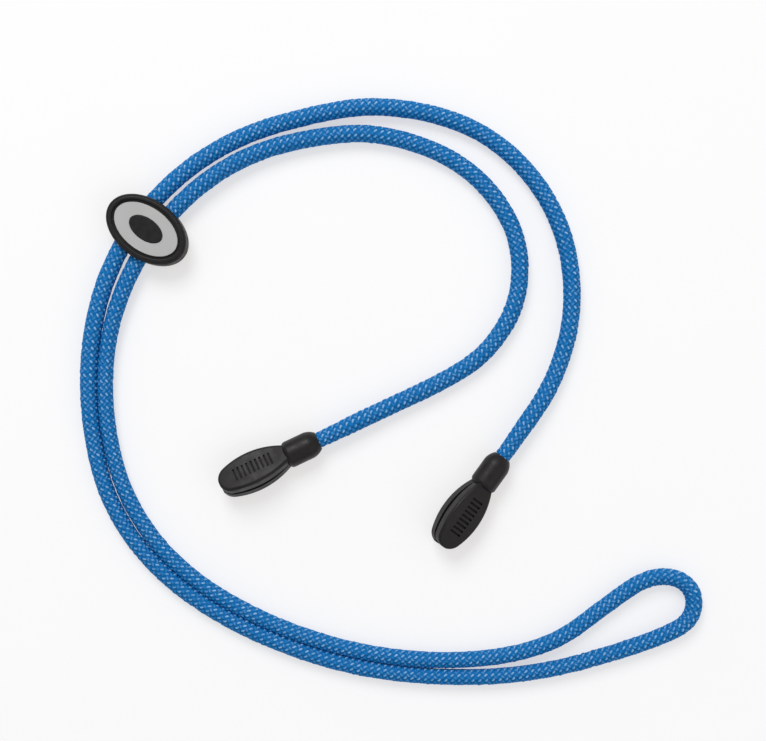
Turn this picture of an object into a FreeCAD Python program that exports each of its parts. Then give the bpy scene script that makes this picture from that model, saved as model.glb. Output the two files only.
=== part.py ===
import FreeCAD, Part
import math
import os
import Sketcher
from FreeCAD import Placement, Rotation, Vector

# A braided cord strap for eyeglasses, lying flat.  One cord runs from the left
# temple grip through the slider, on to a fold, back through the slider beside
# itself and out to the right temple grip.  Z = 0 is the surface it lies on, and
# the origin is the middle of the box round the slider and the two grips.

DIMENSIONS = [
    ("cord_diameter", 3.9, "braided sheath, outside"),
    ("core_diameter", 2.5, "bundle of straight yarns inside the sheath"),
    ("core_gap", 0.05, "radial room between core and sheath"),
    ("cord_buried", 6.5, "length of cord inside each grip"),
    ("grip_length", 25.2, "mouth to tip"),
    ("neck_radius", 3.22, "round neck of a grip"),
    ("neck_length", 8.6, "mouth to the end of the neck"),
    ("neck_end_round", 1.2, "round at the end of the neck"),
    ("mouth_radius", 2.08, "face of the mouth, inside its round"),
    ("mouth_length", 3.3, "mouth to where the neck is full"),
    ("mouth_bow", 4.4, "radius of the rounded mouth"),
    ("lip_start", 7.8, "mouth to the hidden root of the lips"),
    ("lip_root_half_width", 1.95, "lips at their root"),
    ("lip_root_half_height", 2.3, "both lips together at their root, half the thickness"),
    ("lip_tip_half_height", 2.35, "both lips together at their tip, half the thickness"),
    ("lip_side_radius", 20.5, "bowed side of the lips, from above"),
    ("lip_tip_radius", 3.2, "round tip, from above"),
    ("lip_crown_radius", 52.0, "bowed top of the lips, from the side"),
    ("lip_edge_round", 0.7, "round along the edges of the lips"),
    ("slit_start", 9.0, "mouth to the bottom of the slit"),
    ("slit_height", 0.4, "gap between the two lips at its bottom and past the tip"),
    ("slit_bow", 105.0, "radius that each lip bows away from the other with"),
    ("pocket_radius", 1.6, "round pocket for a temple arm"),
    ("pocket_start", 10.6, "mouth to the bottom of the pocket"),
    ("pocket_flare", 0.5, "flare at the entrance of the pocket"),
    ("bore_gap", 0.05, "radial room round the cord in a grip"),
    ("ferrule_start", 1.6, "mouth to the ferrule"),
    ("ferrule_length", 4.6, "crimped sleeve"),
    ("ferrule_gap", 0.02, "radial room inside and outside the ferrule"),
    ("ferrule_wall", 0.3, "sheet metal of the ferrule"),
    ("crimp_width", 0.8, "one rolled crimp"),
    ("crimp_bow", 0.75, "radius of a rolled crimp"),
    ("rib_count", 9, "sunk bars across the top lip"),
    ("rib_first", 11.9, "mouth to the first bar"),
    ("rib_pitch", 1.12, "bar to bar"),
    ("rib_width", 0.48, "one bar along the grip"),
    ("rib_length", 3.0, "one bar across the grip"),
    ("rib_depth", 0.45, "bar below the crown"),
    ("slider_half_length", 10.35, "oval across both cords"),
    ("slider_half_width", 7.0, "oval along the cords"),
    ("slider_height", 6.9, "underside to the top of the rim"),
    ("slider_foot_round", 1.0, "round under the base"),
    ("slider_rim_round", 0.8, "round over the rim"),
    ("parting_bevel", 0.14, "open line between base and cover"),
    ("cord_lift", 2.9, "middle of the cord above the underside of the slider"),
    ("parting_height", 3.2, "underside of the slider to the joint of base and cover"),
    ("channel_gap", 0.3, "radial room round the cord in the slider"),
    ("channel_pitch", 5.1, "middle of one channel to the other"),
    ("channel_angle", 40.0, "degrees of ring that a channel is cut through"),
    ("track_radius", 63.2, "pivot to the middle between the channels"),
    ("slider_inset", 0.85, "middle of the slider inside the middle between the channels"),
    ("pin_offset", 7.9, "middle of the slider to a snap pin"),
    ("pin_radius", 0.9, "snap pin"),
    ("pin_length", 1.9, "snap pin below the cover"),
    ("pin_gap", 0.05, "room round a snap pin"),
    ("recess_half_length", 9.1, "recess for the inlay"),
    ("recess_half_width", 5.9, "recess for the inlay"),
    ("recess_depth", 0.75, "recess below the rim"),
    ("inlay_gap", 0.8, "shadow gap round the inlay"),
    ("inlay_thickness", 0.55, "inlay plate"),
    ("inlay_edge_round", 0.12, "round along the edges of the inlay"),
    ("island_half_length", 4.3, "plain oval island inside the inlay"),
    ("island_half_width", 2.4, "plain oval island inside the inlay"),
    ("island_gap", 0.12, "gap between the inlay and the island"),
    ("ridge_half_length", 9.6, "raised ridge round the recess, outside"),
    ("ridge_half_width", 6.35, "raised ridge round the recess, outside"),
    ("shoulder_depth", 0.25, "shoulder outside the ridge, below its top"),
]

TRACK_PIVOT = Vector(13.3, -3.4, 0)   # middle of the two rings that the cord follows in the slider
SLIDER_HEADING = 144.25               # degrees, from the pivot to the slider
GRIP_ROLL = 24.0                      # degrees that a grip lies turned about its own length
ARC_SHARE = 0.45                      # part of the shorter run that an arc takes up

# The corners of the cord's route: straight runs between them, rounded by arcs.
CORD_ROUTE = [
    (-3.2, -19.0, 3.63),     # cut end, inside the left grip
    (14.0, -10.85, 2.42),
    (33.0, -2.0, 2.0),
    (43.2, 4.9, 2.0),
    (50.6, 17.6, 2.0),       # inner bow
    (49.5, 34.4, 2.0),
    (37.1, 49.4, 2.0),
    (17.3, 56.7, 2.0),
    (1.5, 55.5, 2.0),
    (-13.8, 51.3, 2.5),      # inner ring, through the slider
    (-26.3, 43.1, 2.9),
    (-36.4, 32.1, 2.9),
    (-43.5, 19.1, 2.9),
    (-47.2, 4.6, 2.5),
    (-47.3, -12.2, 2.0),     # side by side, inner run
    (-42.8, -30.0, 2.0),
    (-31.2, -45.6, 2.0),
    (-12.3, -57.9, 2.0),
    (12.0, -66.0, 2.0),
    (36.2, -68.6, 2.0),
    (57.2, -64.8, 2.0),
    (71.0, -54.5, 2.0),      # fold
    (79.4, -48.5, 2.0),
    (86.4, -48.0, 2.0),
    (90.7, -51.8, 2.0),
    (90.3, -58.2, 2.0),
    (84.5, -62.2, 2.0),
    (73.2, -66.0, 2.0),
    (56.0, -70.3, 2.0),      # side by side, outer run
    (36.4, -72.6, 2.0),
    (11.2, -70.1, 2.0),
    (-14.1, -61.7, 2.0),
    (-34.1, -48.6, 2.0),
    (-46.6, -31.8, 2.0),
    (-51.3, -12.8, 2.0),
    (-52.1, 4.8, 2.5),       # outer ring, through the slider
    (-48.3, 21.0, 2.9),
    (-40.5, 35.1, 2.9),
    (-29.6, 47.0, 2.9),
    (-16.4, 55.6, 2.5),
    (-1.0, 59.8, 2.0),       # outer bow
    (16.5, 63.0, 2.0),
    (37.2, 58.9, 2.0),
    (51.9, 48.3, 2.0),
    (61.0, 32.5, 2.0),
    (63.0, 14.5, 2.0),
    (58.3, -2.4, 2.0),
    (48.6, -16.2, 2.93),
    (41.95, -25.35, 3.63),     # cut end, inside the right grip
]


class Size:
    """A length that carries its number and the sheet expression behind it."""

    def __init__(self, value, text):
        self.value = value
        self.text = text

    def __add__(self, other):
        return self.joined(other, "+", self.value + number(other))

    def __sub__(self, other):
        return self.joined(other, "-", self.value - number(other))

    def __mul__(self, other):
        return self.joined(other, "*", self.value * number(other))

    def __truediv__(self, other):
        return self.joined(other, "/", self.value / number(other))

    def __neg__(self):
        return Size(-self.value, "(0 - %s)" % self.text)

    def joined(self, other, sign, value):
        right = other.text if isinstance(other, Size) else repr(other)
        return Size(value, "(%s %s %s)" % (self.text, sign, right))


def number(length):
    return length.value if isinstance(length, Size) else float(length)


def size(alias):
    return Size(float(sheet.get(alias)), "Dimensions." + alias)


def bind(thing, name, length):
    thing.setExpression(name, length.text)


doc = FreeCAD.newDocument("EyeglassesStrap")
sheet = doc.addObject("Spreadsheet::Sheet", "Dimensions")
for row, (alias, value, meaning) in enumerate(DIMENSIONS, start=1):
    sheet.set("A%d" % row, meaning)
    sheet.set("B%d" % row, str(value))
    sheet.setAlias("B%d" % row, alias)
doc.recompute()


# ---------------------------------------------------------------- sketches

def new_body(name):
    body = doc.addObject("PartDesign::Body", "Body")
    body.Label = name
    return body


def new_sketch(body, name, role, height=None):
    """A sketch on one of the body's own planes, raised by height if given."""
    sketch = body.newObject("Sketcher::SketchObject", name)
    plane = [item for item in body.Origin.OriginFeatures if item.Role == role][0]
    sketch.AttachmentSupport = [(plane, "")]
    sketch.MapMode = "FlatFace"
    if height is not None:
        bind(sketch, "AttachmentOffset.Base.z", height)
    return sketch


def bind_last(sketch, constraint, length):
    index = sketch.addConstraint(constraint)
    bind(sketch, "Constraints[%d]" % index, length)


def fix(sketch, kind, edge, end, place):
    """Ties one point of an edge to its distance from the sketch's origin."""
    if number(place) == 0:
        axis = -2 if kind == "DistanceX" else -1
        sketch.addConstraint(Sketcher.Constraint("PointOnObject", edge, end, axis))
    elif place.value > 0:
        bind_last(sketch, Sketcher.Constraint(kind, -1, 1, edge, end, place.value), place)
    else:
        bind_last(sketch, Sketcher.Constraint(kind, edge, end, -1, 1, -place.value), -place)


def bulge(start, end, radius, side):
    """The middle of an arc of that radius, left of start-end for side 1."""
    chord = end - start
    across = Vector(-chord.y, chord.x, 0) / chord.Length * side
    rise = radius - math.sqrt(radius ** 2 - (chord.Length / 2) ** 2)
    return (start + end) / 2 + across * rise


def edge_ends(sketch, edge, start):
    """The edge's end at start and its other end, as (1, 2) or (2, 1)."""
    near = sketch.getPoint(edge, 1).distanceToPoint(start)
    far = sketch.getPoint(edge, 2).distanceToPoint(start)
    return (1, 2) if near < far else (2, 1)


def outline(sketch, corners, arcs=None):
    """A closed outline through the corners; arcs maps an edge to (radius, side)."""
    arcs = arcs or {}
    points = [Vector(number(x), number(y), 0) for x, y in corners]
    first = sketch.GeometryCount
    count = len(points)
    for i, start in enumerate(points):
        end = points[(i + 1) % count]
        if i in arcs:
            radius, side = arcs[i]
            sketch.addGeometry(Part.Arc(start, bulge(start, end, radius.value, side), end))
        else:
            sketch.addGeometry(Part.LineSegment(start, end))
    for i in range(count):
        following = (i + 1) % count
        ends = edge_ends(sketch, first + i, points[i])
        later = edge_ends(sketch, first + following, points[following])
        sketch.addConstraint(Sketcher.Constraint(
            "Coincident", first + i, ends[1], first + following, later[0]))
        fix(sketch, "DistanceX", first + i, ends[0], corners[i][0])
        fix(sketch, "DistanceY", first + i, ends[0], corners[i][1])
        if i in arcs:
            radius = arcs[i][0]
            bind_last(sketch, Sketcher.Constraint("Radius", first + i, radius.value), radius)


def ellipse(sketch, half_long, half_short):
    """An ellipse about the sketch's origin, its long axis level."""
    curve = sketch.addGeometry(Part.Ellipse(Vector(0, 0, 0), half_long.value, half_short.value))
    sketch.exposeInternalGeometry(curve)
    sketch.addConstraint(Sketcher.Constraint("Coincident", curve, 3, -1, 1))
    sketch.addConstraint(Sketcher.Constraint("Horizontal", curve + 1))
    bind_last(sketch, Sketcher.Constraint("Distance", curve + 1, half_long.value * 2), half_long * 2)
    bind_last(sketch, Sketcher.Constraint("Distance", curve + 2, half_short.value * 2), half_short * 2)


def circle(sketch, x, y, radius):
    centre = Vector(number(x), number(y), 0)
    curve = sketch.addGeometry(Part.Circle(centre, Vector(0, 0, 1), radius.value))
    fix(sketch, "DistanceX", curve, 3, x)
    fix(sketch, "DistanceY", curve, 3, y)
    bind_last(sketch, Sketcher.Constraint("Radius", curve, radius.value), radius)


# ---------------------------------------------------------------- features

def volume(body):
    return 0.0 if body.Shape.isNull() else body.Shape.Volume


def finish_feature(body, name, before):
    doc.recompute()
    if abs(volume(body) - before) < 1e-4:
        raise RuntimeError(name + " leaves the volume of " + body.Label + " as it was")


def extrude(body, kind, name, sketch, length, reverse=False, both_sides=False):
    """A Pad or a Pocket that is checked to have changed the body's volume."""
    doc.recompute()
    before = volume(body)
    feature = body.newObject("PartDesign::" + kind, name)
    feature.Profile = sketch
    feature.SideType = "Symmetric" if both_sides else "One side"
    feature.Reversed = reverse
    bind(feature, "Length", length)
    finish_feature(body, name, before)


def revolve(body, kind, name, sketch, axis, angle=None):
    """A Revolution or a Groove, all the way round unless angle is given."""
    doc.recompute()
    before = volume(body)
    feature = body.newObject("PartDesign::" + kind, name)
    feature.Profile = sketch
    feature.ReferenceAxis = (sketch, [axis])
    feature.Angle = 360
    if angle is not None:
        feature.Midplane = True
        bind(feature, "Angle", angle)
    finish_feature(body, name, before)


def dress(body, kind, name, test, length):
    """A Fillet or a Chamfer on those edges of the body so far that pass the test."""
    before = volume(body)
    base = body.Tip
    edges = ["Edge%d" % (i + 1) for i, edge in enumerate(base.Shape.Edges) if test(edge)]
    feature = body.newObject("PartDesign::" + kind, name)
    feature.Base = (base, edges)
    bind(feature, "Radius" if kind == "Fillet" else "Size", length)
    finish_feature(body, name, before)


def level_at(edge, height):
    box = edge.BoundBox
    return abs(box.ZMin - height) < 1e-4 and abs(box.ZMax - height) < 1e-4


# ---------------------------------------------------------------- cord

def rounded_path(corners):
    """Straight runs joined by tangent arcs, and the radii of the arcs."""
    edges = []
    radii = []
    last = corners[0]
    for before, corner, after in zip(corners, corners[1:], corners[2:]):
        run_in = corner - before
        run_out = after - corner
        turn = run_in.getAngle(run_out)
        cut = ARC_SHARE * min(run_in.Length, run_out.Length)
        radius = cut / math.tan(turn / 2)
        run_in.normalize()
        run_out.normalize()
        start = corner - run_in * cut
        end = corner + run_out * cut
        inward = (run_out - run_in).normalize()
        reach = radius / math.cos(turn / 2) - radius
        edges.append(Part.LineSegment(last, start))
        edges.append(Part.Arc(start, corner + inward * reach, end))
        radii.append(radius)
        last = end
    edges.append(Part.LineSegment(last, corners[-1]))
    return Part.Wire([edge.toShape() for edge in edges]), radii


def cord_sweep(name, path, radius):
    """A solid of round section along the path."""
    start = Vector(*CORD_ROUTE[0])
    heading = Vector(*CORD_ROUTE[1]) - start
    ring = doc.addObject("Part::Circle", name + "Ring")
    bind(ring, "Radius", radius)
    ring.Placement = Placement(start, Rotation(Vector(0, 0, 1), heading))
    sweep = doc.addObject("Part::Sweep", name)
    sweep.Sections = [ring]
    sweep.Spine = (path, ["Edge%d" % (i + 1) for i in range(len(path.Shape.Edges))])
    sweep.Solid = True
    sweep.Frenet = False
    return sweep


def build_cord():
    """The braided sheath, and the core of straight yarns inside it."""
    path = doc.addObject("Part::Feature", "CordPath")
    path.Shape, radii = rounded_path([Vector(*point) for point in CORD_ROUTE])
    outside = cord_sweep("SheathOutside", path, size("cord_diameter") / 2)
    inside = cord_sweep("SheathInside", path, size("core_diameter") / 2 + size("core_gap"))
    sheath = doc.addObject("Part::Cut", "Sheath")
    sheath.Base = outside
    sheath.Tool = inside
    sheath.Label = "cord_sheath"
    core = cord_sweep("Core", path, size("core_diameter") / 2)
    core.Label = "cord_core"
    doc.recompute()
    section = math.pi * size("cord_diameter").value ** 2 / 4
    print("cord length %.1f mm" % path.Shape.Length)
    print("cord volume / (section x length) = %.5f" % (
        outside.Shape.Volume / (section * path.Shape.Length)))
    print("cord radii", " ".join("%.1f" % radius for radius in radii))
    return [sheath, core]


# ---------------------------------------------------------------- grips

def lip_outline(sketch):
    """The lips from above: two bowed sides that run into a round tip."""
    side = size("lip_side_radius").value
    tip = size("lip_tip_radius").value
    centre = size("grip_length") - size("lip_tip_radius")
    root = Vector(size("lip_start").value, size("lip_root_half_width").value, 0)
    swing = math.asin((centre.value - root.x) / 2 / side)
    joint = Vector(centre.value + tip * math.sin(swing), tip * math.cos(swing), 0)
    mirrored_root = Vector(root.x, -root.y, 0)
    mirrored_joint = Vector(joint.x, -joint.y, 0)
    first = sketch.GeometryCount
    sketch.addGeometry(Part.Arc(root, bulge(root, joint, side, 1), joint))
    sketch.addGeometry(Part.Arc(joint, Vector(centre.value + tip, 0, 0), mirrored_joint))
    sketch.addGeometry(Part.Arc(
        mirrored_joint, bulge(mirrored_joint, mirrored_root, side, 1), mirrored_root))
    sketch.addGeometry(Part.LineSegment(mirrored_root, root))
    starts = [root, joint, mirrored_joint, mirrored_root]
    ends = [edge_ends(sketch, first + i, starts[i]) for i in range(4)]
    for i, kind in enumerate(["Tangent", "Tangent", "Coincident", "Coincident"]):
        following = (i + 1) % 4
        sketch.addConstraint(Sketcher.Constraint(
            kind, first + i, ends[i][1], first + following, ends[following][0]))
    fix(sketch, "DistanceX", first, ends[0][0], size("lip_start"))
    fix(sketch, "DistanceY", first, ends[0][0], size("lip_root_half_width"))
    fix(sketch, "DistanceX", first + 3, ends[3][0], size("lip_start"))
    fix(sketch, "DistanceY", first + 3, ends[3][0], -size("lip_root_half_width"))
    fix(sketch, "DistanceX", first + 1, 3, centre)
    fix(sketch, "DistanceY", first + 1, 3, 0)
    for i, alias in enumerate(["lip_side_radius", "lip_tip_radius", "lip_side_radius"]):
        radius = size(alias)
        bind_last(sketch, Sketcher.Constraint("Radius", first + i, radius.value), radius)


def crown_height(x):
    """Height of the bowed crown of the lips at x from the mouth."""
    root = Vector(size("lip_start").value, size("lip_root_half_height").value, 0)
    tip = Vector(size("grip_length").value, size("lip_tip_half_height").value, 0)
    radius = size("lip_crown_radius").value
    top = bulge(root, tip, radius, 1)
    down = ((root + tip) / 2 - top).normalize()
    centre = top + down * radius
    return centre.y + math.sqrt(radius ** 2 - (x - centre.x) ** 2)


def build_lips(body):
    """The two lips as one block, before they are slit."""
    root = size("lip_root_half_height")
    tip = size("lip_tip_half_height")
    crown = (size("lip_crown_radius"), 1)
    side_view = new_sketch(body, "LipSideView", "XZ_Plane")
    outline(side_view, [
        (size("lip_start"), root), (size("grip_length"), tip),
        (size("grip_length"), -tip), (size("lip_start"), -root)], {0: crown, 2: crown})
    width = size("lip_side_radius")
    extrude(body, "Pad", "LipBlock", side_view, width, both_sides=True)

    plan = new_sketch(body, "LipPlan", "XY_Plane")
    lip_outline(plan)
    near = size("lip_start") - 1
    far = size("grip_length") + 1
    outline(plan, [(near, width), (far, width), (far, -width), (near, -width)])
    extrude(body, "Pocket", "LipSides", plan, width, both_sides=True)

    def along_the_crown(edge):
        box = edge.BoundBox
        return abs(box.Center.z) > root.value * 0.9 and box.XLength > 0.1
    dress(body, "Fillet", "LipEdges", along_the_crown, size("lip_edge_round"))


def build_neck(body):
    radius = size("neck_radius")
    length = size("neck_length")
    end_round = size("neck_end_round")
    profile = new_sketch(body, "NeckProfile", "XY_Plane")
    outline(profile, [
        (0, 0), (0, size("mouth_radius")), (size("mouth_length"), radius),
        (length - end_round, radius), (length, radius - end_round), (length, 0)],
        {1: (size("mouth_bow"), 1), 3: (end_round, 1)})
    revolve(body, "Revolution", "Neck", profile, "H_Axis")


def cut_bores(body):
    """The stepped bore for the cord and its ferrule, and the pocket for a temple arm."""
    bore = size("cord_diameter") / 2 + size("bore_gap")
    cavity = size("cord_diameter") / 2 + size("ferrule_gap") * 2 + size("ferrule_wall")
    start = size("ferrule_start")
    end = start + size("ferrule_length")
    bottom = size("cord_buried")
    cord_bore = new_sketch(body, "CordBoreProfile", "XY_Plane")
    outline(cord_bore, [
        (0, 0), (0, bore), (start, bore), (start, cavity),
        (end, cavity), (end, bore), (bottom, bore), (bottom, 0)])
    revolve(body, "Groove", "CordBore", cord_bore, "H_Axis")

    radius = size("pocket_radius")
    flare = size("pocket_flare")
    mouth = size("grip_length")
    pocket = new_sketch(body, "PocketProfile", "XY_Plane")
    outline(pocket, [
        (size("pocket_start"), 0), (size("pocket_start"), radius), (mouth - flare * 2, radius),
        (mouth, radius + flare), (mouth + 1, radius + flare), (mouth + 1, 0)])
    revolve(body, "Groove", "TemplePocket", pocket, "H_Axis")


def cut_slit_and_ribs(body):
    half = size("slit_height") / 2
    far = size("grip_length") + 1
    slit = new_sketch(body, "SlitSideView", "XZ_Plane")
    bow = (size("slit_bow"), 1)
    near = size("slit_start")
    outline(slit, [(near, half), (far, half), (far, -half), (near, -half)], {0: bow, 2: bow})
    extrude(body, "Pocket", "Slit", slit, size("lip_side_radius"), both_sides=True)

    ribs = new_sketch(body, "RibSideView", "XZ_Plane")
    depth = size("rib_depth")
    over = size("lip_root_half_height") * 2
    for i in range(int(size("rib_count").value)):
        middle = size("rib_first") + size("rib_pitch") * i
        near = middle - size("rib_width") / 2
        far = middle + size("rib_width") / 2
        floor = over - (over.value - crown_height(middle.value)) - depth
        outline(ribs, [(near, over), (far, over), (far, floor), (near, floor)])
    extrude(body, "Pocket", "Ribs", ribs, size("rib_length"), both_sides=True)


def grip_placement(end, before, roll):
    """Where a grip lies: its mouth on the cord, looking along the cord's end run."""
    along = (end - before).normalize()
    yaw = math.degrees(math.atan2(along.y, along.x))
    pitch = -math.degrees(math.asin(along.z))
    return Placement(end - along * size("cord_buried").value, Rotation(yaw, pitch, roll))


def build_grip(name, placement):
    """A moulded rubber grip: round neck, two lips, and a pocket between them."""
    body = new_body(name)
    build_lips(body)
    build_neck(body)
    cut_bores(body)
    cut_slit_and_ribs(body)
    body.Placement = placement
    return body


def build_ferrule(name, placement):
    """A thin metal sleeve with two rolled crimps, round the end of the cord."""
    body = new_body(name)
    inner = size("cord_diameter") / 2 + size("ferrule_gap")
    outer = inner + size("ferrule_wall")
    start = size("ferrule_start")
    end = start + size("ferrule_length")
    crimp = size("crimp_width")
    bow = (size("crimp_bow"), -1)
    first = start + crimp
    second = end - crimp * 2
    profile = new_sketch(body, "SleeveProfile", "XY_Plane")
    outline(profile, [
        (start, inner), (start, outer), (first, outer), (first + crimp, outer),
        (second, outer), (second + crimp, outer), (end, outer), (end, inner)],
        {2: bow, 4: bow})
    revolve(body, "Revolution", "Sleeve", profile, "H_Axis")
    body.Placement = placement
    return body


# ---------------------------------------------------------------- slider

def slider_placement():
    """The slider's own +X points away from the pivot, across both cords."""
    turn = Rotation(SLIDER_HEADING, 0, 0)
    radius = size("track_radius") - size("slider_inset")
    return Placement(TRACK_PIVOT + turn.multVec(Vector(radius.value, 0, 0)), turn)


def cut_channels(body):
    """Two channels that are parts of rings about the pivot, one for each cord."""
    half_pitch = size("channel_pitch") / 2
    radius = size("cord_diameter") / 2 + size("channel_gap")
    inset = size("slider_inset")
    profile = new_sketch(body, "ChannelProfile", "XZ_Plane")
    circle(profile, inset + half_pitch, size("cord_lift"), radius)
    circle(profile, inset - half_pitch, size("cord_lift"), radius)
    track = size("track_radius") - inset
    foot = Vector(-track.value, 0, 0)
    head = Vector(-track.value, track.value, 0)
    axis = profile.addGeometry(Part.LineSegment(foot, head), True)
    for end, height in ((1, 0), (2, track)):
        fix(profile, "DistanceX", axis, end, -track)
        fix(profile, "DistanceY", axis, end, height)
    revolve(body, "Groove", "Channels", profile, "Axis0", size("channel_angle"))


def build_slider_base():
    body = new_body("slider_base")
    top = size("parting_height")
    plan = new_sketch(body, "BasePlan", "XY_Plane")
    ellipse(plan, size("slider_half_length"), size("slider_half_width"))
    extrude(body, "Pad", "BaseBlock", plan, top)
    dress(body, "Fillet", "Foot", lambda edge: level_at(edge, 0), size("slider_foot_round"))
    dress(body, "Chamfer", "BaseBevel", lambda edge: level_at(edge, top.value),
          size("parting_bevel"))
    holes = new_sketch(body, "PinHolePlan", "XY_Plane", top)
    for side in (1, -1):
        circle(holes, size("pin_offset") * side, 0, size("pin_radius") + size("pin_gap"))
    extrude(body, "Pocket", "PinHoles", holes, size("pin_length") + size("pin_gap"))
    cut_channels(body)
    body.Placement = slider_placement()
    return body


def build_slider_cover():
    body = new_body("slider_cover")
    bottom = size("parting_height")
    top = size("slider_height")
    plan = new_sketch(body, "CoverPlan", "XY_Plane", bottom)
    ellipse(plan, size("slider_half_length"), size("slider_half_width"))
    extrude(body, "Pad", "CoverBlock", plan, top - bottom)
    dress(body, "Fillet", "Rim", lambda edge: level_at(edge, top.value), size("slider_rim_round"))
    dress(body, "Chamfer", "CoverBevel", lambda edge: level_at(edge, bottom.value),
          size("parting_bevel"))

    pins = new_sketch(body, "PinPlan", "XY_Plane", bottom)
    for side in (1, -1):
        circle(pins, size("pin_offset") * side, 0, size("pin_radius"))
    extrude(body, "Pad", "Pins", pins, size("pin_length"), reverse=True)

    recess = new_sketch(body, "RecessPlan", "XY_Plane", top)
    ellipse(recess, size("recess_half_length"), size("recess_half_width"))
    ellipse(recess, size("island_half_length"), size("island_half_width"))
    extrude(body, "Pocket", "Recess", recess, size("recess_depth"))

    shoulder = new_sketch(body, "ShoulderPlan", "XY_Plane", top)
    ellipse(shoulder, size("slider_half_length") + 1, size("slider_half_width") + 1)
    ellipse(shoulder, size("ridge_half_length"), size("ridge_half_width"))
    extrude(body, "Pocket", "Shoulder", shoulder, size("shoulder_depth"))
    cut_channels(body)
    body.Placement = slider_placement()
    return body


def build_slider_inlay():
    body = new_body("slider_inlay")
    floor = size("slider_height") - size("recess_depth")
    top = floor + size("inlay_thickness")
    plan = new_sketch(body, "InlayPlan", "XY_Plane", floor)
    ellipse(plan, size("recess_half_length") - size("inlay_gap"),
            size("recess_half_width") - size("inlay_gap"))
    ellipse(plan, size("island_half_length") + size("island_gap"),
            size("island_half_width") + size("island_gap"))
    extrude(body, "Pad", "InlayPlate", plan, size("inlay_thickness"))
    dress(body, "Fillet", "InlayEdges", lambda edge: level_at(edge, top.value),
          size("inlay_edge_round"))
    body.Placement = slider_placement()
    return body


# ---------------------------------------------------------------- the strap

ends = [Vector(*point) for point in CORD_ROUTE]
left = grip_placement(ends[0], ends[1], GRIP_ROLL)
right = grip_placement(ends[-1], ends[-2], -GRIP_ROLL)

parts = build_cord()
parts.append(build_grip("grip_left", left))
parts.append(build_grip("grip_right", right))
parts.append(build_ferrule("ferrule_left", left))
parts.append(build_ferrule("ferrule_right", right))
parts.append(build_slider_base())
parts.append(build_slider_cover())
parts.append(build_slider_inlay())
doc.recompute()

for item in doc.Objects:
    if "Invalid" in item.State or "Error" in item.State:
        raise RuntimeError("%s (%s) failed: %s" % (item.Name, item.Label, item.State))
for part in parts:
    if part.Shape.isNull() or not part.Shape.isValid() or len(part.Shape.Solids) != 1:
        raise RuntimeError("%s is not one valid solid" % part.Label)

os.makedirs("parts", exist_ok=True)
for part in parts:
    part.Shape.exportStep("parts/%s.step" % part.Label)
    box = part.Shape.BoundBox
    print("%-14s %9.2f mm3  low %.3f  high %.3f" % (
        part.Label, part.Shape.Volume, box.ZMin, box.ZMax))
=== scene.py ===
"""A braided eyeglasses strap on a pale floor, seen from straight above."""
import math

import bpy
import numpy as np
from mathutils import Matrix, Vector


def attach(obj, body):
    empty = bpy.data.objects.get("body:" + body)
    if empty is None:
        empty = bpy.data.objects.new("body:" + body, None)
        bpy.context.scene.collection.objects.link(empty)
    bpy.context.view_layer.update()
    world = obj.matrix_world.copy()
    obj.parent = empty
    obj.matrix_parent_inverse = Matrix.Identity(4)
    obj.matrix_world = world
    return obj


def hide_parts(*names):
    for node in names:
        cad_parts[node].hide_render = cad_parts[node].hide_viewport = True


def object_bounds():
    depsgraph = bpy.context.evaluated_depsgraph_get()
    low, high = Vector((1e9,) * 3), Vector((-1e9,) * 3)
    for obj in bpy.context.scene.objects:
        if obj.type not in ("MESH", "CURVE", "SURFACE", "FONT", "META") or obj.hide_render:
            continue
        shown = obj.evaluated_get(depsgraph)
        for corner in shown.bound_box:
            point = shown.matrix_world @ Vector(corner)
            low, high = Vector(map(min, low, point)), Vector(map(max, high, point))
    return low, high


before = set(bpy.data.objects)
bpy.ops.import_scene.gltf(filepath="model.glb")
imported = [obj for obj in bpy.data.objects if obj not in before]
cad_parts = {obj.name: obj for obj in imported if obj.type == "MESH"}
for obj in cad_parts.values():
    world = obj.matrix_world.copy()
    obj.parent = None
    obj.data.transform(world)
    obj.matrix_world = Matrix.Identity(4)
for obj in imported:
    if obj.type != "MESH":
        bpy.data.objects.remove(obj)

cad_low, cad_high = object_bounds()

# Sizes in metres.
CORD_DIAMETER = 0.0039
VIEW_CENTRE = (0.0178, 0.0002)
CAMERA_HEIGHT = 0.400
VIEW_WIDTH = 0.180           # what the camera sees across, at the height of VIEW_PLANE
VIEW_PLANE = 0.002           # about half a cord above the floor
FLOOR_HALF = 3.0             # from the floor's middle to each of its sides
FLOOR_DROP = 0.00002         # keeps the floor clear of the parts' flat undersides

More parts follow.
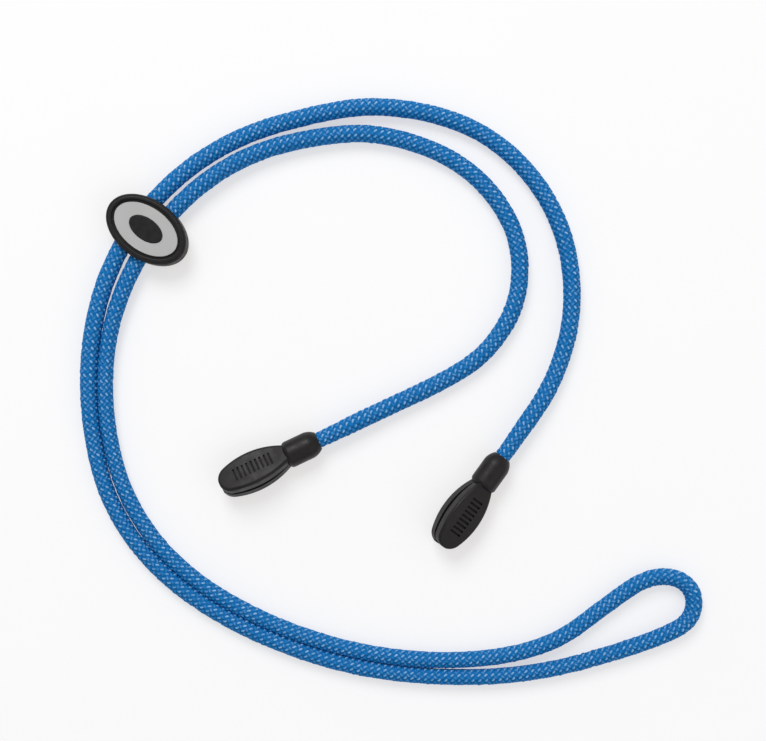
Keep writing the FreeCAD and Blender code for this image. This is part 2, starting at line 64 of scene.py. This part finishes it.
# The cord's route, from inside the left grip to inside the right one.
CORD_ROUTE = [
    (-0.0032, -0.0190, 0.00363),      # cut end, inside the left grip
    (0.01395, -0.0107, 0.00242),
    (0.0330, -0.0020, 0.0021),
    (0.0431, 0.0050, 0.0021),
    (0.0504, 0.0176, 0.0021),         # inner bow
    (0.0494, 0.0343, 0.0021),
    (0.0371, 0.0493, 0.0021),
    (0.0173, 0.0564, 0.0021),
    (0.0016, 0.0552, 0.0021),
    (-0.0137, 0.0511, 0.0025),        # inner ring, through the slider
    (-0.0263, 0.0431, 0.0029),
    (-0.0364, 0.0321, 0.0029),
    (-0.0436, 0.0192, 0.0029),
    (-0.0475, 0.0046, 0.0025),
    (-0.04745, -0.0122, 0.0021),      # side by side, inner run
    (-0.0429, -0.0300, 0.0021),
    (-0.0314, -0.0458, 0.0021),
    (-0.0124, -0.0581, 0.0021),
    (0.0119, -0.0664, 0.0021),
    (0.0362, -0.0685, 0.0021),
    (0.0572, -0.0648, 0.0021),
    (0.0709, -0.0544, 0.0021),        # fold
    (0.0794, -0.0485, 0.0021),
    (0.0864, -0.0480, 0.0021),
    (0.0911, -0.0517, 0.0021),
    (0.0905, -0.0583, 0.0021),
    (0.0844, -0.0619, 0.0021),
    (0.0732, -0.0658, 0.0021),
    (0.0560, -0.0706, 0.0021),        # side by side, outer run
    (0.0364, -0.0723, 0.0021),
    (0.0112, -0.0701, 0.0021),
    (-0.0139, -0.0614, 0.0021),
    (-0.0340, -0.0485, 0.0021),
    (-0.0466, -0.0318, 0.0021),
    (-0.0512, -0.0128, 0.0021),
    (-0.05135, 0.0048, 0.0025),       # outer ring, through the slider
    (-0.0479, 0.0208, 0.0029),
    (-0.0405, 0.0351, 0.0029),
    (-0.0294, 0.0468, 0.0029),
    (-0.0162, 0.0551, 0.0025),
    (-0.0010, 0.0599, 0.0021),        # outer bow
    (0.0165, 0.0630, 0.0021),
    (0.0372, 0.0589, 0.0021),
    (0.0518, 0.0482, 0.0021),
    (0.0609, 0.0325, 0.0021),
    (0.0629, 0.0145, 0.0021),
    (0.0583, -0.0024, 0.0021),
    (0.0486, -0.0162, 0.00293),
    (0.04195, -0.02535, 0.00363),     # cut end, inside the right grip
]

# The braid: eight strands wound each way, each over one and under one.
STRANDS_EACH_WAY = 8
PICK_LENGTH = 0.00158        # along the cord, from one crossing of a strand pair to the next
RELIEF = 0.00042             # from the crown of a strand down to the crease beside it
CELL_STEPS = 3               # mesh steps across one crossing, each way
ROUTE_STEPS = 24             # straight pieces for each point of the route
SEED = 7
LIFT_SPREAD = 0.08           # how much the crowns' heights differ, for a mean of 1
FAINTEST_HIGHLIGHT = 0.6          # how bright the faintest crossing's painted highlight is, for 1 on the brightest
FAINT_STRAND_HIGHLIGHT = 0.62         # how bright the painted highlights on the left-hand strands are, for 1 on the right-hand ones
HIGHLIGHT_SIDE = (0.15, 0.35, 0.925)   # the side of the cord, up and towards the key light, where the painted highlights are brightest

# How far in from a crossing's edges its inner corners lie, as a share of the crossing.
CROWN_ALONG = 0.24           # on the crown, along the strand on top
CROWN_ACROSS = 0.30          # on the crown, across that strand
CREASE_INSET = 0.22          # in the crease round a crossing, both ways

# How full the braid is: a share of the cord's length, then a share of CORD_DIAMETER.
FULLNESS = [
    (0.0, 0.96),
    (0.008, 0.96),
    (0.02, 1.06),
    (0.20, 1.065),
    (0.27, 0.98),
    (0.30, 0.965),
    (0.46, 0.98),
    (0.49, 1.04),
    (0.54, 0.955),
    (0.69, 1.0),
    (0.735, 1.09),
    (0.80, 1.065),
    (0.98, 1.06),
    (0.992, 0.96),
    (1.0, 0.96),
]


# ---------------------------------------------------------------- camera

def make_camera():
    data = bpy.data.cameras.new("camera")
    data.sensor_width = 36.0
    data.lens = data.sensor_width * (CAMERA_HEIGHT - VIEW_PLANE) / VIEW_WIDTH
    data.clip_start = 0.01
    camera = bpy.data.objects.new("camera", data)
    camera.location = (*VIEW_CENTRE, CAMERA_HEIGHT)
    bpy.context.scene.collection.objects.link(camera)
    bpy.context.scene.camera = camera


# ---------------------------------------------------------------- cord

def centreline():
    """Points close together along the route's smooth spline, as an array."""
    curve = bpy.data.curves.new("cord_route", "CURVE")
    curve.dimensions = "3D"
    curve.resolution_u = ROUTE_STEPS
    spline = curve.splines.new("NURBS")
    spline.points.add(len(CORD_ROUTE) - 1)
    for point, place in zip(spline.points, CORD_ROUTE):
        point.co = (*place, 1.0)
    spline.order_u = 3
    spline.use_endpoint_u = True
    holder = bpy.data.objects.new("cord_route", curve)
    bpy.context.scene.collection.objects.link(holder)
    mesh = bpy.data.meshes.new_from_object(holder)
    points = np.array([vertex.co[:] for vertex in mesh.vertices])
    bpy.data.objects.remove(holder)
    bpy.data.curves.remove(curve)
    bpy.data.meshes.remove(mesh)
    return points


class Line:
    """A polyline that gives its place and its two cross directions at any length along it."""

    def __init__(self, points):
        steps = np.linalg.norm(np.diff(points, axis=0), axis=1)
        keep = np.concatenate([[True], steps > 1e-7])
        self.points = points[keep]
        steps = np.linalg.norm(np.diff(self.points, axis=0), axis=1)
        self.at = np.concatenate([[0.0], np.cumsum(steps)])
        self.length = self.at[-1]
        self.tangents = np.gradient(self.points, self.at, axis=0)

    def sample(self, table, along):
        return np.stack([np.interp(along, self.at, table[:, i]) for i in range(3)], axis=-1)

    def frame(self, along):
        place = self.sample(self.points, along)
        tangent = self.sample(self.tangents, along)
        side = np.cross(tangent, (0.0, 0.0, 1.0))
        side /= np.linalg.norm(side, axis=-1, keepdims=True)
        over = np.cross(side, tangent)
        over /= np.linalg.norm(over, axis=-1, keepdims=True)
        return place, side, over


def cord_radius(along, length):
    """The braid's radius over its crowns: fuller on the bows, slimmer where the runs lie together."""
    stations, fullness = np.array(FULLNESS).T
    return CORD_DIAMETER / 2 * np.interp(along, stations * length, fullness)


def spread(part, edge):
    """Moves corners that are a third of the way into a crossing to the given share of the way in."""
    return np.where(part < 1e-6, 0.0, np.where(part < 0.5, edge, 1.0 - edge))


class Corners:
    """Corners of the braid's lattice, numbered by rows along the cord and columns round it."""

    def __init__(self, rows, columns):
        u = (columns + rows) / (2 * CELL_STEPS)
        v = (columns - rows) / (2 * CELL_STEPS)
        self.cell_u = np.floor(u + 1e-9).astype(int)
        self.cell_v = np.floor(v + 1e-9).astype(int)
        part_u = u - self.cell_u
        part_v = v - self.cell_v
        self.inside = (part_u > 1e-6) & (part_v > 1e-6)
        right_over = (self.cell_u + self.cell_v) % 2 == 0
        along_edge = np.where(self.inside, CROWN_ALONG, CREASE_INSET)
        across_edge = np.where(self.inside, CROWN_ACROSS, CREASE_INSET)
        self.u = self.cell_u + spread(part_u, np.where(right_over, along_edge, across_edge))
        self.v = self.cell_v + spread(part_v, np.where(right_over, across_edge, along_edge))


def table_lookup(table, cell_u, cell_v):
    """One entry of a table of chance numbers for each crossing of the braid."""
    return table[(cell_u - cell_v) % table.shape[0], (cell_u + cell_v) % table.shape[1]]


def lattice_faces(row_count, ring):
    """The faces' corners as (rows, columns), without the triangles at the two ends."""
    rows, places = np.meshgrid(np.arange(row_count - 1), np.arange(ring), indexing="ij")
    columns = places * 2 + rows % 2
    face_rows = np.stack([rows, rows + 1, rows + 2, rows + 1], axis=-1).reshape(-1, 4)
    face_columns = np.stack([columns, columns - 1, columns, columns + 1], axis=-1).reshape(-1, 4)
    return face_rows, face_columns


def make_braid(line):
    """The sheath as one closed mesh, whose faces follow the strands."""
    crossings = 2 * int(round(line.length / PICK_LENGTH))
    half_pick = line.length / crossings
    row_count = crossings * CELL_STEPS
    ring = STRANDS_EACH_WAY * CELL_STEPS
    chance = np.random.default_rng(SEED)
    lifts = chance.normal(1.0, LIFT_SPREAD, (crossings + 1, STRANDS_EACH_WAY * 2))
    highlight_strengths = chance.uniform(FAINTEST_HIGHLIGHT, 1.0, (crossings + 1, STRANDS_EACH_WAY * 2))

    rows, places = np.meshgrid(np.arange(row_count + 1), np.arange(ring), indexing="ij")
    corners = Corners(rows, places * 2 + rows % 2)
    crown = corners.inside * table_lookup(lifts, corners.cell_u, corners.cell_v)
    along = np.clip((corners.u - corners.v) * half_pick, 0.0, line.length)
    turn = (corners.u + corners.v) * math.pi / STRANDS_EACH_WAY
    radius = cord_radius(along, line.length) + RELIEF * (crown - 1.0)
    place, side, over = line.frame(along)
    outward = side * np.cos(turn)[..., None] + over * np.sin(turn)[..., None]
    points = (place + outward * radius[..., None]).reshape(-1, 3)

    face_rows, face_columns = lattice_faces(row_count, ring)
    quads = face_rows * ring + (face_columns // 2) % ring

    # Triangles level off the zigzag at the two ends, and one flat face closes each.
    first = np.arange(ring)
    last = row_count * ring + first
    near_end = np.stack([first, first + ring, np.roll(first, -1)], axis=-1)
    far_end = np.stack([last, np.roll(last, -1), last - ring], axis=-1)
    faces = quads.tolist() + near_end.tolist() + far_end.tolist()
    faces += [first.tolist(), last[::-1].tolist()]
    mesh = bpy.data.meshes.new("cord")
    mesh.from_pydata(points.tolist(), [], faces)
    mesh.shade_smooth()

    # What the material reads: the yarns' direction, each crossing's painted highlight strength, and the
    # crowns, which set the painted shade in the creases.
    on_face = Corners(face_rows, face_columns)
    cell = Corners(face_rows[:, :1] + 1, face_columns[:, :1])
    right_over = (cell.cell_u + cell.cell_v) % 2 == 0
    yarn = np.zeros((len(mesh.loops), 2))
    yarn[:quads.size, 0] = np.where(right_over, on_face.u, on_face.v).reshape(-1)
    yarn[:quads.size, 1] = np.where(right_over, on_face.v, on_face.u).reshape(-1)
    mesh.uv_layers.new(name="yarn").data.foreach_set("uv", yarn.reshape(-1))
    # Painted highlight strength for each crossing: random, and fainter on the left-hand strands, whose
    # yarns catch the light less.
    highlight_strength = np.zeros(len(mesh.polygons))
    strand_highlight = np.where(right_over[:, 0], 1.0, FAINT_STRAND_HIGHLIGHT)
    highlight_strength[:len(quads)] = strand_highlight * table_lookup(highlight_strengths, cell.cell_u, cell.cell_v)[:, 0]
    mesh.attributes.new("highlight_strength", "FLOAT", "FACE").data.foreach_set("value", highlight_strength)
    mesh.attributes.new("crown", "FLOAT", "POINT").data.foreach_set("value", crown.reshape(-1))
    return mesh


def make_cord():
    line = Line(centreline())
    cord = bpy.data.objects.new("cord", make_braid(line))
    bpy.context.scene.collection.objects.link(cord)
    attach(cord, "strap")
    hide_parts("cord_sheath", "cord_core")
    return cord


# ---------------------------------------------------------------- materials

class Shader:
    """A material's nodes. An input is given as a number, a colour or another node's output."""

    def __init__(self, name):
        self.material = bpy.data.materials.new(name)
        self.material.use_nodes = True
        self.tree = self.material.node_tree
        self.surface = self.tree.nodes["Principled BSDF"]

    def set_input(self, socket, value):
        if isinstance(value, bpy.types.NodeSocket):
            self.tree.links.new(value, socket)
        else:
            socket.default_value = value

    def node(self, kind, settings=None, **inputs):
        node = self.tree.nodes.new("ShaderNode" + kind)
        for name, value in (settings or {}).items():
            setattr(node, name, value)
        for name, value in inputs.items():
            self.set_input(node.inputs[name.replace("_", " ")], value)
        return node

    def maths(self, operation, *values):
        node = self.node("Math", {"operation": operation})
        for socket, value in zip(node.inputs, values):
            self.set_input(socket, value)
        return node.outputs["Value"]

    def blend(self, share, low, high):
        """Low's colour where share is 0, and high's where it is 1."""
        node = self.node("Mix", {"data_type": "RGBA"})
        # Sockets 0, 6 and 7 are its share and its two colours, and output 2 is the mixed colour.
        for index, value in ((0, share), (6, low), (7, high)):
            self.set_input(node.inputs[index], value)
        return node.outputs[2]

    def noise(self, place, scale, detail=2.0):
        node = self.node("TexNoise", Vector=place, Scale=scale, Detail=detail)
        return node.outputs["Fac"]

    def remap(self, value, low, high, new_low=0.0, new_high=1.0):
        node = self.node("MapRange", {"interpolation_type": "SMOOTHSTEP"})
        for index, number in enumerate((value, low, high, new_low, new_high)):
            self.set_input(node.inputs[index], number)
        return node.outputs["Result"]

    def object_place(self):
        return self.node("TexCoord").outputs["Object"]

    def bump(self, height, distance, strength, below=None):
        node = self.node("Bump", Height=height, Distance=distance, Strength=strength)
        if below is not None:
            self.set_input(node.inputs["Normal"], below)
        return node.outputs["Normal"]

    def finish(self, **inputs):
        for name, value in inputs.items():
            self.set_input(self.surface.inputs[name.replace("_", " ")], value)
        return self.material


def rgb(red, green, blue):
    return (red, green, blue, 1.0)


def braid_material():
    """Blue filament yarn, three plies to a strand, with painted shade in its creases and a painted
    highlight, a pale slash, on each crossing.
    """
    shader = Shader("braided_blue")
    yarn = shader.node("UVMap", {"uv_map": "yarn"}).outputs["UV"]
    highlight_strength = shader.node("Attribute", {"attribute_name": "highlight_strength"}).outputs["Fac"]
    crown = shader.node("Attribute", {"attribute_name": "crown"}).outputs["Fac"]
    parts = shader.node("SeparateXYZ", Vector=yarn).outputs

    fibre_place = shader.node("Mapping", Vector=yarn, Scale=(0.9, 13.0, 1.0)).outputs["Vector"]
    fibres = shader.noise(fibre_place, 1.0, 3.0)
    ply_place = shader.node("Mapping", Vector=yarn, Scale=(0.6, 2.2, 1.0)).outputs["Vector"]
    ply_highlight_strength = shader.noise(ply_place, 1.7, 1.0)
    across = shader.maths("COSINE", shader.maths("MULTIPLY", parts["Y"], 6.0 * math.pi))
    plies = shader.remap(across, -0.7, 0.9)
    patches = shader.noise(shader.object_place(), 150.0)

    # Painted highlight: a slender pale slash in the middle of each crossing, of random strength,
    # brightest where the surface faces up towards the light.
    from_middle = shader.maths("SUBTRACT", shader.maths("FRACT", parts["X"]), 0.5)
    from_axis = shader.maths("SUBTRACT", shader.maths("FRACT", parts["Y"]), 0.5)
    slender = shader.node("CombineXYZ", X=shader.maths("MULTIPLY", from_middle, 0.55),
                          Y=shader.maths("MULTIPLY", from_axis, 2.1))
    away = shader.node("VectorMath", {"operation": "LENGTH"}, Vector=slender.outputs["Vector"])
    chance = shader.maths("MULTIPLY_ADD", highlight_strength, 0.75, shader.maths("MULTIPLY", ply_highlight_strength, 0.4))
    lit = shader.remap(chance, 0.45, 0.95)
    facing = shader.node("VectorMath", {"operation": "DOT_PRODUCT"},
                         Vector=shader.node("NewGeometry").outputs["Normal"])
    facing.inputs[1].default_value = HIGHLIGHT_SIDE
    painted_highlight = shader.maths("MULTIPLY", lit, shader.remap(facing.outputs["Value"], 0.25, 0.90, 0.25, 1.0))
    highlight_slash = shader.maths("MULTIPLY", shader.remap(away.outputs["Value"], 0.55, 0.15), painted_highlight)

    # Painted shade: the blue is darker in the creases round each crown, and varies in random patches.
    depth = shader.remap(shader.maths("ADD", crown, shader.maths("MULTIPLY", patches, 0.5)), 0.1, 1.3)
    dye_and_crease_shade = shader.blend(depth, rgb(0.0006, 0.155, 0.455), rgb(0.0008, 0.186, 0.545))
    streaked = shader.blend(shader.maths("MULTIPLY", fibres, 0.30), dye_and_crease_shade, rgb(0.02, 0.24, 0.60))
    # Painted highlight: the slash turns the yarn's colour pale blue.
    colour = shader.blend(shader.maths("MULTIPLY", highlight_slash, 0.9), streaked, rgb(0.33, 0.57, 0.86))

    relief = shader.maths("ADD", shader.maths("MULTIPLY", plies, 0.8), fibres)
    return shader.finish(
        Base_Color=colour,
        Roughness=shader.remap(highlight_slash, 0.0, 0.6, 0.55, 0.32),
        Normal=shader.bump(relief, 0.00005, 0.8),
        Tangent=shader.node("Tangent", {"direction_type": "UV_MAP", "uv_map": "yarn"}).outputs["Tangent"],
        Anisotropic=0.7,
        Specular_IOR_Level=0.15)


def rubber_material():
    """Moulded rubber: near black, with a fine matt grain and rubbed patches, and painted shade in its
    recesses, where the reflection is turned down.
    """
    shader = Shader("grip_rubber")
    place = shader.object_place()
    grain = shader.noise(place, 9000.0, 3.0)
    patches = shader.noise(place, 420.0)
    colour = shader.blend(patches, rgb(0.007, 0.006, 0.0058), rgb(0.016, 0.0135, 0.013))
    dusty = shader.blend(shader.remap(grain, 0.55, 0.8, 0.0, 0.3), colour, rgb(0.05, 0.045, 0.043))
    # Painted shade: less reflection where the surface is hemmed in.
    open_sky = shader.node("AmbientOcclusion", {"samples": 8}, Distance=0.0009).outputs["AO"]
    return shader.finish(
        Base_Color=dusty,
        Roughness=shader.remap(patches, 0.3, 0.7, 0.38, 0.52),
        Normal=shader.bump(grain, 0.00002, 0.7),
        Specular_IOR_Level=shader.remap(open_sky, 0.4, 0.95, 0.09, 0.27))


def gloss_material():
    """Satin black moulding with faint handling marks, a painted highlight along its edges, and painted
    shade on its walls, where the reflection is turned down.
    """
    shader = Shader("slider_black")
    place = shader.object_place()
    haze = shader.noise(place, 700.0, 4.0)
    ripple = shader.noise(place, 300.0)
    rounded = shader.node("Bevel", {"samples": 8}, Radius=0.00018).outputs["Normal"]
    flat = shader.node("NewGeometry").outputs["Normal"]
    alike = shader.node("VectorMath", {"operation": "DOT_PRODUCT"}, Vector=rounded)
    shader.tree.links.new(flat, alike.inputs[1])
    # Painted highlight: paler grey along the edges, where the rounded normal parts from the flat one.
    edge = shader.remap(alike.outputs["Value"], 0.98, 0.80)
    # Painted shade: the reflection is turned down on the upright walls.
    level = shader.node("SeparateXYZ", Vector=flat).outputs["Z"]
    moulded = shader.blend(haze, rgb(0.008, 0.0072, 0.0072), rgb(0.016, 0.0145, 0.0145))
    return shader.finish(
        Base_Color=shader.blend(edge, moulded, rgb(0.085, 0.080, 0.078)),
        Roughness=shader.remap(haze, 0.35, 0.75, 0.34, 0.50),
        Normal=shader.bump(ripple, 0.00002, 0.5, rounded),
        Specular_IOR_Level=shader.remap(level, 0.1, 0.8, 0.03, 0.22))


def inlay_material():
    """Grey painted plate with a fine orange-peel surface."""
    shader = Shader("inlay_grey")
    place = shader.object_place()
    peel = shader.noise(place, 2600.0, 3.0)
    cloud = shader.noise(place, 240.0)
    return shader.finish(
        Base_Color=shader.blend(cloud, rgb(0.46, 0.46, 0.455), rgb(0.52, 0.52, 0.515)),
        Roughness=shader.remap(cloud, 0.3, 0.7, 0.38, 0.50),
        Normal=shader.bump(peel, 0.00001, 0.6),
        Specular_IOR_Level=0.3)


def ferrule_material():
    """Rolled sheet metal with fine turning lines."""
    shader = Shader("ferrule_metal")
    scratches = shader.noise(
        shader.node("Mapping", Vector=shader.object_place(), Scale=(1.0, 1.0, 14.0)).outputs["Vector"],
        1500.0, 3.0)
    return shader.finish(
        Base_Color=shader.blend(scratches, rgb(0.55, 0.55, 0.56), rgb(0.72, 0.72, 0.73)),
        Metallic=1.0,
        Roughness=shader.remap(scratches, 0.3, 0.7, 0.28, 0.45),
        Normal=shader.bump(scratches, 0.00001, 0.5))


def floor_material():
    """A white light table: it glows a little, so that shadows on it stay pale."""
    shader = Shader("floor_white")
    speckle = shader.noise(shader.object_place(), 40.0)
    return shader.finish(
        Base_Color=shader.blend(speckle, rgb(0.435, 0.45, 0.47), rgb(0.445, 0.46, 0.48)),
        Roughness=0.75,
        Specular_IOR_Level=0.2,
        Emission_Color=rgb(1.0, 0.975, 0.95),
        Emission_Strength=0.57)


def dress(node, material):
    """Gives a carried-over piece its material, in every slot that it has."""
    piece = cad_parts[node]
    if not piece.material_slots:
        piece.data.materials.append(material)
    for place in piece.material_slots:
        place.material = material


# ---------------------------------------------------------------- stage

def make_floor():
    signs = ((-1, -1), (1, -1), (1, 1), (-1, 1))
    mesh = bpy.data.meshes.new("floor")
    mesh.from_pydata([(FLOOR_HALF * x, FLOOR_HALF * y, 0) for x, y in signs], [], [(0, 1, 2, 3)])
    mesh.materials.append(floor_material())
    floor = bpy.data.objects.new("floor", mesh)
    floor.location.z = cad_low[2] - FLOOR_DROP
    bpy.context.scene.collection.objects.link(floor)


def softbox(name, place, target, width, power):
    """A square soft light that faces the target."""
    data = bpy.data.lights.new(name, "AREA")
    data.size = width
    data.energy = power
    light = bpy.data.objects.new(name, data)
    light.location = place
    facing = Vector(target) - Vector(place)
    light.rotation_euler = facing.to_track_quat("-Z", "Y").to_euler()
    bpy.context.scene.collection.objects.link(light)


def make_light():
    middle = (*VIEW_CENTRE, 0.0)
    softbox("key", (-0.25, 0.75, 0.95), middle, width=0.6, power=8.0)
    softbox("fill", (0.8, -0.5, 0.9), middle, width=0.9, power=2.0)
    world = bpy.data.worlds.new("studio")
    world.use_nodes = True
    background = world.node_tree.nodes["Background"]
    background.inputs["Color"].default_value = rgb(1.0, 1.0, 1.0)
    background.inputs["Strength"].default_value = 0.45
    bpy.context.scene.world = world
    bpy.context.scene.view_settings.view_transform = "Standard"


make_camera()
cord = make_cord()
cord.data.materials.append(braid_material())

rubber = rubber_material()
metal = ferrule_material()
gloss = gloss_material()
for side in ("left", "right"):
    dress("grip_" + side, rubber)
    dress("ferrule_" + side, metal)
dress("slider_base", gloss)
dress("slider_cover", gloss)
dress("slider_inlay", inlay_material())

make_floor()
make_light()
